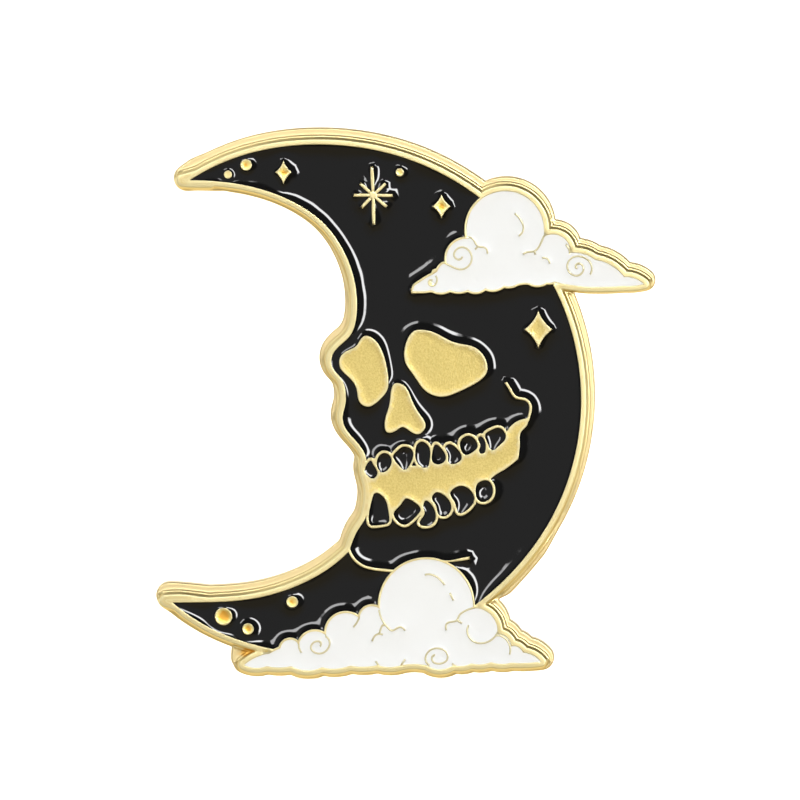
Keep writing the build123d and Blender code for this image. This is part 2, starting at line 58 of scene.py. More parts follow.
# ---- the metal, mm ------------------------------------------------------------------------------
EDGE_ROUND = 0.045  # radius along every raised edge
RIM_ROUND = 0.10  # softer along the outside, from the polishing barrel
LEDGE_ROUND = 0.14
BACK_ROUND = 0.10
DISH = 0.03  # how far a dot or a small star is dished
DISH_AREA = 1.5  # mm2: a smaller island is a dot or a small star
DISH_REACH = 0.30  # and is at its lowest this far in from its edge
SINK_FLAT = 0.02  # the wide flats lie this much under the metal along their edges
FLAT_FROM = 0.10  # metal further than this from an edge keeps the die's sandblasted grain
FLAT_FULL = 0.17
RIM_ZONE = 0.60  # metal nearer the outline than this belongs to the rim and stays bright
BACK_STIPPLE = 0.34  # the back's stipple is full this far in from its trimmed edge
STEP_AT = (0.20, 0.30)  # the second, lower step of the rim's outer wall, from its top edge
STEP_WIDTH = 0.13
STEP_HEIGHT = 0.11
WIDE_LEDGE = (0.42, 0.56)  # that step appears where the ledge is this wide
CORNER_SHADE_WIDTHS = (0.95, 1.15)  # and the ledge is painted a deep orange where it is as wide as this, in the inner corners: painted shade and reflection of the gold in itself
FINE_SINK = 0.03  # the fine lines in the clouds are struck this much lower
FINE_NEAR_WHITE = 0.14  # such a line is metal this near white enamel,
FINE_OFF_BLACK = 0.25  # further than this from black enamel,
FINE_OFF_RIM = 0.46  # and further than this from the outline
PAD_AREA = 20  # mm2: a smaller outline in the back is a post's recess, not the trimmed edge
EVEN_AREA = 5.0  # mm2: less flat face than this isn't a level of the plate
RECESS_AREA = 2.0  # mm2: but the recesses are as small as this
SMALL_AREA = 0.01  # mm2: and a tooth's enamel has only a little

# ---- the enamel, mm -----------------------------------------------------------------------------
WET = 0.075  # the enamel wets a wall up to this far under its top
SINK = {"black_enamel": 0.34, "white_enamel": 0.12}  # and sinks this much lower out in the open
REACH = 0.58  # how far the meniscus reaches
RIPPLE = 0.006  # height of the slow waves in the cured surface

# ---- mesh detail, mm ----------------------------------------------------------------------------
STEP = 0.10  # along an outline
SAMPLE_STEP = 0.02  # between the points that distances are measured to
LEAST_CHORD = 0.04  # of a step: an outline's shorter chords are left out
LEAST_GAP = 0.25  # of a step: drawn points no further apart than this become one
SAME_LEVEL = 2e-3  # faces whose depths differ by less are at one level
SQUARE = 1e-3  # a face that is square to Y varies less in depth than this
CORNER = math.radians(38)  # a sharper turn stays a corner
METAL_RINGS = (0.010, 0.030, 0.055, 0.075, 0.100)
LEDGE_RINGS = (0.020, 0.045, 0.075, 0.110, 0.145, 0.185, 0.210, 0.235, 0.260, 0.285, 0.320)
BACK_RINGS = (0.025, 0.055, 0.100, 0.200)
ENAMEL_RINGS = (0.03, 0.07, 0.12, 0.18, 0.25, 0.33, 0.42, 0.52, 0.64, 0.78, 0.94)
METAL_GRID = 0.30
BACK_GRID = 0.60
ENAMEL_GRID = 0.34
RING_KEEP = 0.97  # a ring's point stays where every edge is this much of the ring's distance away,
RING_SLACK = 0.002  # less this
GRID_GAP = 0.3  # of the grid's step, between the last ring and the grid
RELAX_STEPS = 400
SMOOTH_ANGLE = math.radians(50)  # faces that meet more sharply show an edge
SOFT_EDGE = 0.04  # width of the few softened edges of the clutches' cups
SOFT_EDGE_ANGLE = math.radians(40)
SLIVER = 1e-6  # mm2: a triangle between points in one line comes out smaller than this


# ---- outlines from the frame --------------------------------------------------------------------
def node_mesh(node):
    """A CAD node's welded points in mm, and its triangles."""
    mesh = frame["nodes"][node].data
    mesh.calc_loop_triangles()
    points = np.empty(len(mesh.vertices) * 3)
    mesh.vertices.foreach_get("co", points)
    triangles = np.empty(len(mesh.loop_triangles) * 3, np.int64)
    mesh.loop_triangles.foreach_get("vertices", triangles)
    welded, index = np.unique(np.round(points.reshape(-1, 3) / MM, 4), axis=0, return_inverse=True)
    return welded, index.ravel()[triangles].reshape(-1, 3)


def flat_faces(node):
    """The node's triangles that are square to Y, with their depths and areas."""
    points, triangles = node_mesh(node)
    corners = points[triangles]
    level = np.ptp(corners[:, :, 1], axis=1) < SQUARE
    triangles, corners = triangles[level], corners[level]
    side, other = corners[:, 1] - corners[:, 0], corners[:, 2] - corners[:, 0]
    area = np.abs(np.cross(side, other)[:, 1]) / 2
    return points, triangles, -corners[:, 0, 1], area


def flat_levels(node, least_area=EVEN_AREA):
    """The depths at which the node has this much flat face, mm2, from the back face forwards."""
    _, _, depth, area = flat_faces(node)
    levels = []
    for value in np.unique(np.round(depth, 3)):
        if area[np.abs(depth - value) < SAME_LEVEL].sum() > least_area:
            levels.append(float(value))
    return levels


def outlines(node, depth):
    """The closed outlines of the node's flat faces at a depth. Metal or enamel lies to the left of each."""
    points, triangles, depths, area = flat_faces(node)
    triangles = triangles[(np.abs(depths - depth) < SAME_LEVEL) & (area > 1e-9)]
    flat = points[:, [0, 2]]
    edges = set()
    for a, b, c in triangles:
        (ax, az), (bx, bz), (cx, cz) = flat[a], flat[b], flat[c]
        if (bx - ax) * (cz - az) - (bz - az) * (cx - ax) < 0:
            b, c = c, b
        edges.update(((a, b), (b, c), (c, a)))
    following = {a: b for a, b in edges if (b, a) not in edges}
    loops = []
    while following:
        start, at = following.popitem()
        loop = [start]
        while at != start:
            loop.append(at)
            at = following.pop(at)
        loops.append(flat[loop])
    return loops


def signed_area(loop):
    """Above zero where the loop runs anticlockwise, seen from the front."""
    x, z = loop.T
    return float((x * np.roll(z, -1) - np.roll(x, -1) * z).sum() / 2)


def smoothed(loop, step):
    """A smooth curve through the loop's points, sampled at about one step, with its real corners kept."""
    gap = np.linalg.norm(np.roll(loop, -1, 0) - loop, axis=1)
    loop = loop[gap > step * LEAST_CHORD]
    chord = np.roll(loop, -1, 0) - loop
    length = np.linalg.norm(chord, axis=1)
    ahead = chord / length[:, None]
    behind = np.roll(ahead, 1, 0)
    before = np.roll(length, 1)
    turn = np.arccos(np.clip((ahead * behind).sum(1), -1, 1))
    sharp = turn > CORNER
    tangent = behind * length[:, None] + ahead * before[:, None]
    tangent /= np.linalg.norm(tangent, axis=1)[:, None]
    drawn = []
    count = len(loop)
    for i in range(count):
        j = (i + 1) % count
        direction = ahead[i]
        leave = direction if sharp[i] and sharp[j] else tangent[i]
        arrive = direction if sharp[i] and sharp[j] else tangent[j]
        if sharp[i] and not sharp[j]:
            leave = 2 * direction * (direction @ arrive) - arrive
        if sharp[j] and not sharp[i]:
            arrive = 2 * direction * (direction @ leave) - leave
        parts = max(1, int(round(length[i] / step)))
        t = (np.arange(parts) / parts)[:, None]
        start, end = loop[i], loop[j]
        curve = (2 * t**3 - 3 * t**2 + 1) * start + (t**3 - 2 * t**2 + t) * leave * length[i]
        curve += (3 * t**2 - 2 * t**3) * end + (t**3 - t**2) * arrive * length[i]
        drawn.append(curve)
    curve = np.concatenate(drawn)
    gap = np.linalg.norm(np.roll(curve, -1, 0) - curve, axis=1)
    return curve[gap > step * LEAST_GAP]


# ---- surfaces between outlines ------------------------------------------------------------------
class Nearest:
    """Distance from any point to the nearest of some loops."""

    def __init__(self, loops):
        samples = []
        for loop in loops:
            end = np.roll(loop, -1, 0)
            for a, b in zip(loop, end):
                parts = max(1, int(np.linalg.norm(b - a) / SAMPLE_STEP))
                samples.append(a + (b - a) * (np.arange(parts) / parts)[:, None])
        samples = np.concatenate(samples)
        self.tree = KDTree(len(samples))
        for number, (x, z) in enumerate(samples):
            self.tree.insert((x, z, 0), number)
        self.tree.balance()

    def __call__(self, points):
        return np.array([self.tree.find((x, z, 0))[2] for x, z in points])


def inside(points, loops):
    """True for each point that an odd number of the loops go round."""
    odd = np.zeros(len(points), bool)
    for loop in loops:
        low, high = loop.min(0), loop.max(0)
        near = np.flatnonzero(((points >= low) & (points <= high)).all(1))
        x, z = points[near].T
        crossings = np.zeros(len(near), bool)
        for (ax, az), (bx, bz) in zip(loop, np.roll(loop, -1, 0)):
            spans = (az > z) != (bz > z)
            if spans.any():
                where = ax + (z[spans] - az) * (bx - ax) / (bz - az)
                crossings[spans] ^= x[spans] < where
        odd[near] ^= crossings
    return odd


def inward(loop):
    """Unit normals of a loop, to its left."""
    along = np.roll(loop, -1, 0) - np.roll(loop, 1, 0)
    along /= np.linalg.norm(along, axis=1)[:, None]
    return np.column_stack((-along[:, 1], along[:, 0]))


def edge_codes(starts, ends, count):
    """One number for each edge, whichever way it runs."""
    return np.minimum(starts, ends) * count + np.maximum(starts, ends)


def without_slivers(points, triangles, rows):
    """Drops flat triangles that lie along the outside of a straight run of the outline."""
    count = len(points)
    outline = np.concatenate([edge_codes(row, np.roll(row, -1), count) for row in rows])
    while True:
        a, b, c = (points[triangles[:, k]] for k in range(3))
        double = np.abs((b - a)[:, 0] * (c - a)[:, 1] - (b - a)[:, 1] * (c - a)[:, 0])
        codes = edge_codes(triangles, np.roll(triangles, -1, 1), count)
        _, place, uses = np.unique(codes, return_inverse=True, return_counts=True)
        loose = (uses[place].reshape(-1, 3) == 1) & ~np.isin(codes, outline)
        stray = (double < 2 * SLIVER) & loose.any(1)
        if not stray.any():
            return triangles
        triangles = triangles[~stray]


def region(loops, rings, grid):
    """A triangle mesh of the area that the loops bound: rows of points at set distances from every edge,
    and an even grid further in. Returns points, triangles, each loop's point numbers, and distances."""
    distance = Nearest(loops)
    rows, first = [], 0
    for loop in loops:
        rows.append(np.arange(first, first + len(loop)))
        first += len(loop)
    extra = []
    for ring in rings:
        row = np.concatenate([loop + inward(loop) * ring for loop in loops])
        extra.append(row[distance(row) > ring * RING_KEEP - RING_SLACK])
    if grid:
        low = np.min([loop.min(0) for loop in loops], axis=0)
        high = np.max([loop.max(0) for loop in loops], axis=0)
        xs = np.arange(low[0], high[0], grid)
        zs = np.arange(low[1], high[1], grid * math.sqrt(0.75))
        x, z = np.meshgrid(xs, zs)
        x[::2] += grid / 2
        even = np.column_stack((x.ravel(), z.ravel()))
        even = even[inside(even, loops)]
        deepest = rings[-1] if rings else 0.0
        extra.append(even[distance(even) > deepest + grid * GRID_GAP])
    extra = np.concatenate(extra) if extra else np.empty((0, 2))
    extra = extra[inside(extra, loops)]
    points = np.concatenate(loops + [extra])
    edges = [(int(a), int(b)) for row in rows for a, b in zip(row, np.roll(row, -1))]
    made = delaunay_2d_cdt([Vector(p) for p in points], edges, [], 0, 1e-7, True)
    points = np.array([tuple(v) for v in made[0]])
    triangles = np.array(made[2])
    triangles = triangles[inside(points[triangles].mean(1), loops)]
    number = {}
    for new, olds in enumerate(made[3]):
        for old in olds:
            number[old] = new
    rows = [np.array([number[i] for i in row]) for row in rows]
    return points, without_slivers(points, triangles, rows), rows, distance(points)


def smoothstep(low, high, value):
    """0 up to low, 1 from high, and smooth between them."""
    t = np.clip((value - low) / (high - low), 0, 1)
    return t * t * (3 - 2 * t)


def rounding(distance, radius):
    """How far a rounded edge has dropped at a distance from it."""
    left = np.clip(radius - distance, 0, radius)
    return radius - np.sqrt(radius**2 - left**2)


def meniscus(points, triangles, rim, sink):
    """Depth below the wetted edge of a liquid surface that sinks away from its walls within one reach."""
    a, b, c = (points[triangles[:, k]] for k in range(3))
    double = np.abs((b - a)[:, 0] * (c - a)[:, 1] - (b - a)[:, 1] * (c - a)[:, 0]) + 1e-12
    count = len(points)
    mass = np.bincount(triangles.ravel(), np.repeat(double / 6, 3), count)
    ends, weights = [], []
    for k in range(3):
        i, j, o = triangles[:, k], triangles[:, (k + 1) % 3], triangles[:, (k + 2) % 3]
        one, two = points[i] - points[o], points[j] - points[o]
        weight = np.clip((one * two).sum(1) / double / 2, 1e-3, None)
        ends += [(i, j), (j, i)]
        weights += [weight, weight]
    source = np.concatenate([e[1] for e in ends])
    target = np.concatenate([e[0] for e in ends])
    weight = np.concatenate(weights)
    total = np.bincount(target, weight, count) + mass / REACH**2
    fixed = np.zeros(count, bool)
    fixed[rim] = True
    rise = np.where(fixed, 1.0, 0.0)
    for _ in range(RELAX_STEPS):
        rise = np.bincount(target, weight * rise[source], count) / total
        rise[fixed] = 1.0
    return sink * (1 - rise)


# ---- pieces -------------------------------------------------------------------------------------
class Solid:
    """Points, triangles and per-point values gathered for one piece."""

    def __init__(self):
        self.points, self.faces, self.values = [], [], {}
        self.count = 0

    def add(self, places, depth, **values):
        """Adds points at (x, z) and a depth, and returns the number of the first."""
        first = self.count
        depth = np.broadcast_to(depth, len(places))
        self.points.append(np.column_stack((places[:, 0], -depth, places[:, 1])))
        for name in sorted(set(self.values) | set(values)):
            rows = self.values.setdefault(name, [np.zeros(first)] if first else [])
            rows.append(np.broadcast_to(values.get(name, 0.0), len(places)))
        self.count += len(places)
        return first

    def skin(self, triangles, first, front=True):
        """Adds a flat region's triangles, seen from the front or from the back."""
        triangles = triangles + first
        self.faces.append(triangles if front else triangles[:, ::-1])

    def wall(self, near, far):
        """Joins two rows of point numbers, the first nearer the front, with the solid to their left."""
        a, b = near, np.roll(near, -1)
        c, d = np.roll(far, -1), far
        self.faces.append(np.column_stack((a, c, b)))
        self.faces.append(np.column_stack((a, d, c)))

    def piece(self, name, slot, material, body="pin", nodes=()):
        """Makes the mesh object, smooth except where faces meet sharply, hangs it under its body and hides
        the CAD nodes it stands in for.
        """
        used, faces = np.unique(np.concatenate(self.faces), return_inverse=True)
        faces = faces.reshape(-1, 3)
        points = np.concatenate(self.points)[used] * MM
        mesh = bpy.data.meshes.new(name)
        mesh.from_pydata(points.tolist(), [], faces.tolist())
        for label, rows in self.values.items():
            attribute = mesh.attributes.new(label, "FLOAT", "POINT")
            attribute.data.foreach_set("value", np.concatenate(rows)[used].astype(np.float32))
        mesh.validate()
        mesh.shade_smooth()
        mesh.set_sharp_from_angle(angle=SMOOTH_ANGLE)
        mesh.materials.append(material)
        piece = bpy.data.objects.new(name, mesh)
        bpy.context.scene.collection.objects.link(piece)
        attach(piece, body)
        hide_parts(*nodes)
        return piece


def cell_loops(slot):
    """The outlines of every cell filled with this enamel."""
    loops = []
    for part in frame["record"]["subparts"]:
        if part["material_slot"] == slot:
            depth = flat_levels(part["node"], SMALL_AREA)[-1]
            loops += [smoothed(loop, STEP) for loop in outlines(part["node"], depth)]
    return loops


def struck_plate(material):
    """The plate: struck relief, rim and ledge at the front, trimmed side, plain back with two recesses."""
    levels = flat_levels("pin_plate")
    back, floor, ledge, relief = levels[0], levels[-3], levels[-2], levels[-1]
    raised = [smoothed(loop, STEP) for loop in outlines("pin_plate", relief)]
    rim = max(raised, key=signed_area)
    solid = Solid()

    # the raised metal, its rounded edges, and the walls down to the cell floors
    from_rim = Nearest([rim])
    points, triangles, rows, distance = region(raised, METAL_RINGS, METAL_GRID)
    across = from_rim(points)
    drop = np.maximum(rounding(distance, EDGE_ROUND), rounding(across, RIM_ROUND))
    by_white = Nearest(cell_loops("white_enamel"))(points)
    by_black = Nearest(cell_loops("black_enamel"))(points)
    fine = (by_white < FINE_NEAR_WHITE) & (by_black > FINE_OFF_BLACK) & (across > FINE_OFF_RIM)
    fine = fine.astype(float)
    hollow = np.zeros(len(points))
    # how far in each dot or small star is: the depth of its dish, and the weight of the painted reflection
    # in it
    for loop in raised:
        if 0 < signed_area(loop) < DISH_AREA:
            held = inside(points, [loop])
            hollow[held] = smoothstep(EDGE_ROUND, DISH_REACH, distance[held])
    flat = smoothstep(FLAT_FROM, FLAT_FULL, distance) * (across > RIM_ZONE)
    drop += DISH * hollow + SINK_FLAT * flat + FINE_SINK * fine
    # painted highlight: the metal along every raised edge is painted a paler gold
    border = 1 - smoothstep(EDGE_ROUND, FLAT_FULL, distance)
    zones = {"across": across, "flat": flat, "hollow": hollow, "border": border, "fine": fine}
    first = solid.add(points, relief - drop, **zones)
    solid.skin(triangles, first)
    floor_loops, floor_rows = [], []
    for loop, row in zip(raised, rows):
        if loop is rim:
            rim_row = row + first
            continue
        low = solid.add(points[row], floor, across=across[row])
        low_row = np.arange(low, low + len(row))
        solid.wall(row + first, low_row)
        floor_loops.append(points[row])
        floor_rows.append(low_row)
    floors = [loop[::-1] for loop in floor_loops]
    points, triangles, rows, _ = region(floors, (), 0)
    number = np.empty(len(points), int)
    for row, low_row in zip(rows, floor_rows):
        number[row] = low_row[::-1]
    solid.faces.append(number[triangles])

    # the ledge, from the foot of the rim to the trimmed edge
    ledge_loops = [smoothed(loop, STEP) for loop in outlines("pin_plate", ledge)]
    edge = max(ledge_loops, key=signed_area)
    points, triangles, rows, _ = region([edge, rim[::-1]], LEDGE_RINGS, METAL_GRID)
    foot, out = from_rim(points), Nearest([edge])(points)
    wide = smoothstep(*WIDE_LEDGE, foot + out)
    wall = relief - RIM_ROUND - ledge
    plain = wall * (1 - smoothstep(0, STEP_WIDTH, foot))
    stepped = STEP_HEIGHT * (1 - smoothstep(*STEP_AT, foot))
    stepped += (wall - STEP_HEIGHT) * (1 - smoothstep(0, STEP_WIDTH, foot))
    depth = ledge - rounding(out, LEDGE_ROUND) + plain + wide * (stepped - plain)
    # painted shade and reflection: the weight of the deep orange in the ledge's inner corners
    nook = smoothstep(*CORNER_SHADE_WIDTHS, foot + out)
    # painted reflection: the ledge beyond the rim's second step is painted a deeper orange gold, for the
    # rim's gold seen in it
    first = solid.add(points, depth, across=-foot, ledge=smoothstep(*STEP_AT, foot), nook=nook)
    number = np.arange(len(points)) + first
    number[rows[1]] = rim_row[::-1]
    solid.faces.append(number[triangles])
    edge_row = rows[0] + first

    # the trimmed side and the back
    pads = [smoothed(loop, STEP) for loop in outlines("pin_plate", back)]
    pads = [loop for loop in pads if abs(signed_area(loop)) < PAD_AREA]
    points, triangles, rows, _ = region([edge] + pads, BACK_RINGS, BACK_GRID)
    out = Nearest([edge])(points)
    stippled = smoothstep(BACK_ROUND, BACK_STIPPLE, out)
    first = solid.add(points, back + rounding(out, BACK_ROUND), across=-out, flat=stippled)
    solid.skin(triangles, first, front=False)
    solid.wall(edge_row, rows[0] + first)
    recess = [level for level in flat_levels("pin_plate", RECESS_AREA) if back < level < floor][0]
    for loop, row in zip(pads, rows[1:]):
        inner = solid.add(points[row], recess)
        inner_row = np.arange(inner, inner + len(row))
        solid.wall(inner_row, row + first)
        middle = solid.add(points[row].mean(0)[None], recess)
        fan = np.column_stack((inner_row, np.roll(inner_row, -1), np.full(len(row), middle)))
        solid.faces.append(fan)
    return solid.piece("struck_plate", "gold_plating", material, nodes=["pin_plate"])


def poured_enamel(node, slot, material):
    """One cell's enamel: wetted a little way up its walls, sunk in the open, and filling the cell below."""
    levels = flat_levels(node, SMALL_AREA)
    floor, top = levels[0], -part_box("pin_plate")[0].y / MM
    loops = [smoothed(loop, STEP) for loop in outlines(node, levels[-1])]
    points, triangles, rows, _ = region(loops, ENAMEL_RINGS, ENAMEL_GRID)
    rim = np.concatenate(rows)
    depth = top - WET - meniscus(points, triangles, rim, SINK[slot])
    x, z = points.T
    wave = np.sin(x * 1.9 + 1.3 * np.sin(z * 1.1)) * np.sin(z * 2.3 + 0.9 * np.sin(x * 1.4))
    depth += RIPPLE * wave * smoothstep(0.0, SINK[slot], top - WET - depth)
    solid = Solid()
    first = solid.add(points, depth)
    solid.skin(triangles, first)
    low_rows = []
    for row in rows:
        low = solid.add(points[row], floor)
        low_rows.append(np.arange(low, low + len(row)))
        solid.wall(row + first, low_rows[-1])
    points, triangles, rows, _ = region([points[row] for row in rows], (), 0)
    number = np.empty(len(points), int)
    for row, low_row in zip(rows, low_rows):
        number[row] = low_row
    solid.faces.append(number[triangles][:, ::-1])
    return solid.piece(f"poured_{node}", slot, material, nodes=[node])


# ---- materials ----------------------------------------------------------------------------------
class Nodes:
    """A short way to write a node tree: each call makes a node, sets its inputs and returns its output."""

    def __init__(self, tree):
        self.tree = tree
        tree.nodes.clear()

    def make(self, kind, out=0, inputs=(), **settings):
        node = self.tree.nodes.new(kind)
        for name, value in settings.items():
            setattr(node, name, value)
        for key, value in dict(inputs).items():
            socket = node.inputs[key]
            if isinstance(value, bpy.types.NodeSocket):
                self.tree.links.new(value, socket)
            else:
                socket.default_value = value
        return node.outputs[out] if node.outputs else node

    def math(self, operation, *values):
        return self.make("ShaderNodeMath", inputs=dict(enumerate(values)), operation=operation)

    def ramp(self, value, low, high, start=0.0, end=1.0):
        """A smooth step of the value from start to end."""
        inputs = {"Value": value, "From Min": low, "From Max": high, "To Min": start, "To Max": end}
        return self.make("ShaderNodeMapRange", inputs=inputs, interpolation_type="SMOOTHSTEP")

    def mix(self, factor, one, two):
        """A mix of two colours."""
        return self.make("ShaderNodeMix", 2, {0: factor, 6: one, 7: two}, data_type="RGBA")

    def noise(self, scale, detail=2.0, rough=0.5, stretch=None):
        """Noise in object space. The scale is in features per millimetre."""
        place = self.make("ShaderNodeTexCoord", "Object")
        if stretch:
            place = self.make("ShaderNodeVectorMath", inputs={0: place, 1: stretch}, operation="MULTIPLY")
        inputs = {"Vector": place, "Scale": scale / MM, "Detail": detail, "Roughness": rough}
        return self.make("ShaderNodeTexNoise", "Fac", inputs)

    def value(self, name):
        """A per-point value of the mesh."""
        return self.make("ShaderNodeAttribute", "Fac", attribute_name=name)

    def bump(self, height, size, strength=1.0, normal=None):
        """A bump of so many millimetres."""
        inputs = {"Height": height, "Distance": size * MM, "Strength": strength}
        if normal is not None:
            inputs["Normal"] = normal
        return self.make("ShaderNodeBump", "Normal", inputs)


def material(name, draw):
    """A material whose Principled inputs come from draw(nodes)."""
    made = bpy.data.materials.new(name)
    made.use_nodes = True
    nodes = Nodes(made.node_tree)
    shader = nodes.make("ShaderNodeBsdfPrincipled", "BSDF", draw(nodes))
    nodes.make("ShaderNodeOutputMaterial", inputs={"Surface": shader})
    return made


def gold(nodes):
    """Gold plating: a brushed rim and sandblasted flats, with painted highlights along the raised edges, and
    painted reflection and shade in deeper orange on the ledge, in its inner corners and in the dished spots.
    """
    across, flat, hollow = nodes.value("across"), nodes.value("flat"), nodes.value("hollow")
    grain = nodes.noise(7, 4, 0.7)
    tone = nodes.noise(0.5, 3)
    lines = nodes.make("ShaderNodeTexNoise", "Fac", {"W": across, "Scale": 11.0, "Detail": 3.0},
                       noise_dimensions="1D")
    bright = nodes.mix(nodes.ramp(lines, 0.3, 0.7), (0.77, 0.61, 0.26, 1), (0.91, 0.79, 0.43, 1))
    bright = nodes.mix(nodes.ramp(tone, 0.35, 0.7, 0.0, 0.35), bright, (0.88, 0.70, 0.31, 1))
    # painted highlight: a paler gold along every raised edge
    bright = nodes.mix(nodes.value("border"), bright, (0.91, 0.80, 0.44, 1))
    # painted reflection: a deeper orange gold on the ledge beyond the rim's step
    bright = nodes.mix(nodes.value("ledge"), bright, (0.90, 0.72, 0.37, 1))
    # painted shade and reflection: deep orange in the ledge's inner corners
    bright = nodes.mix(nodes.value("nook"), bright, (0.88, 0.50, 0.10, 1))
    bright = nodes.mix(nodes.value("fine"), bright, (0.72, 0.66, 0.42, 1))
    blasted = nodes.mix(nodes.ramp(grain, 0.3, 0.7), (0.79, 0.60, 0.18, 1), (0.98, 0.79, 0.30, 1))
    color = nodes.mix(flat, bright, blasted)
    # painted reflection: each dot and small star is painted a deeper yellow, and orange towards its middle,
    # for the gold seen in its own dish
    color = nodes.mix(nodes.ramp(hollow, 0.0, 0.3), color, (1.0, 0.80, 0.27, 1))
    color = nodes.mix(nodes.ramp(hollow, 0.35, 0.95, 0.0, 0.9), color, (1.0, 0.50, 0.06, 1))
    brushed = nodes.bump(lines, 0.008, 0.5)
    blast = nodes.math("MULTIPLY", grain, nodes.math("ADD", 0.30, flat))
    normal = nodes.bump(blast, 0.010, 0.6, brushed)
    rough = nodes.math("ADD", 0.35, nodes.math("MULTIPLY", tone, 0.04))
    rough = nodes.math("SUBTRACT", rough, nodes.math("MULTIPLY", flat, 0.06))
    return {"Base Color": color, "Metallic": 1.0, "Roughness": rough, "Normal": normal}


def black(nodes):
    """Glossy black enamel, with the faintest orange peel."""
    peel = nodes.noise(0.9, 2)
    cloudy = nodes.noise(0.25, 3)
    color = nodes.mix(cloudy, (0.0010, 0.0010, 0.0011, 1), (0.0022, 0.0021, 0.0021, 1))
    rough = nodes.ramp(peel, 0.3, 0.7, 0.035, 0.06)
    normal = nodes.bump(peel, 0.006, 0.5)
    return {"Base Color": color, "Roughness": rough, "IOR": 1.5, "Normal": normal}


def white(nodes):
    """Glossy white enamel, very slightly uneven in tone."""
    peel = nodes.noise(0.9, 2)
    cloudy = nodes.noise(0.35, 3)
    color = nodes.mix(cloudy, (0.905, 0.92, 0.92, 1), (0.945, 0.96, 0.965, 1))
    rough = nodes.ramp(peel, 0.3, 0.7, 0.12, 0.18)
    normal = nodes.bump(peel, 0.006, 0.5)
    gloss = {"Roughness": rough, "IOR": 1.5, "Specular IOR Level": 0.25, "Normal": normal}
    return {"Base Color": color, **gloss}


def brass(nodes):
    """Pressed sheet brass: fine draw marks and slow changes of tone."""
    tone = nodes.noise(0.6, 4)
    marks = nodes.noise(6, 3, 0.6, stretch=(1, 0.06, 1))
    color = nodes.mix(tone, (0.78, 0.60, 0.27, 1), (0.92, 0.75, 0.40, 1))
    rough = nodes.ramp(marks, 0.3, 0.7, 0.20, 0.34)
    normal = nodes.bump(marks, 0.006, 0.6)
    return {"Base Color": color, "Metallic": 1.0, "Roughness": rough, "Normal": normal}


def post_metal(nodes):
    """Drawn wire, marked along its length."""
    marks = nodes.noise(8, 3, 0.6, stretch=(1, 0.04, 1))
    color = nodes.mix(marks, (0.76, 0.62, 0.36, 1), (0.90, 0.78, 0.50, 1))
    rough = nodes.ramp(marks, 0.3, 0.7, 0.18, 0.30)
    normal = nodes.bump(marks, 0.004, 0.6)
    return {"Base Color": color, "Metallic": 1.0, "Roughness": rough, "Normal": normal}


def solder_metal(nodes):
    """Dull solder with a frosty skin."""
    frost = nodes.noise(5, 4, 0.6)
    color = nodes.mix(frost, (0.50, 0.49, 0.47, 1), (0.70, 0.69, 0.66, 1))
    rough = nodes.ramp(frost, 0.3, 0.7, 0.35, 0.55)
    normal = nodes.bump(frost, 0.02, 0.7)
    return {"Base Color": color, "Metallic": 1.0, "Roughness": rough, "Normal": normal}


MATERIALS = {
    "gold_plating": material("gold_plating_look", gold),
    "black_enamel": material("black_enamel_look", black),
    "white_enamel": material("white_enamel_look", white),
    "clutch_brass": material("clutch_brass_look", brass),
    "post_metal": material("post_metal_look", post_metal),
    "solder": material("solder_look", solder_metal),
}

# ---- the pin ------------------------------------------------------------------------------------
struck_plate(MATERIALS["gold_plating"])
for part in frame["record"]["subparts"]:
    node, slot = part["node"], part["material_slot"]
    if node.endswith("enamel") or "enamel_" in node:
        poured_enamel(node, slot, MATERIALS[slot])
    elif node != "pin_plate":
        mesh = frame["nodes"][node].data
        mesh.materials.clear()
        mesh.materials.append(MATERIALS[slot])
    if node.endswith("base"):
        # the other CAD meshes are split along every edge; each cup's is too, but for a few edges, and
        # softening those leaves the cup's shown mesh open at 30 short edges
        edges = frame["nodes"][node].modifiers.new("soft_edges", "BEVEL")
        edges.width = SOFT_EDGE * MM
        edges.segments = 2
        edges.limit_method = "ANGLE"
        edges.angle_limit = SOFT_EDGE_ANGLE

# ---- floor, light and camera --------------------------------------------------------------------
plate_low, plate_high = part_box("pin_plate")
plate_size = plate_high - plate_low

FLOOR_HALF = 8.0
floor_mesh = bpy.data.meshes.new("floor")
corners = [(x * FLOOR_HALF, y * FLOOR_HALF, plate_low.z) for x, y in ((-1, -1), (1, -1), (1, 1), (-1, 1))]
floor_mesh.from_pydata(corners, [], [(0, 1, 2, 3)])
floor = bpy.data.objects.new("floor", floor_mesh)
bpy.context.scene.collection.objects.link(floor)
floor.visible_glossy = False
floor.visible_diffuse = False


def floor_paper(nodes):
    """Plain pale paper."""
    fibre = nodes.noise(1.5, 3)
    color = nodes.mix(fibre, (0.94, 0.94, 0.935, 1), (0.97, 0.97, 0.965, 1))
    return {"Base Color": color, "Roughness": 0.9, "Emission Color": (1, 1, 1, 1), "Emission Strength": 0.62}


floor_mesh.materials.append(material("floor_paper", floor_paper))

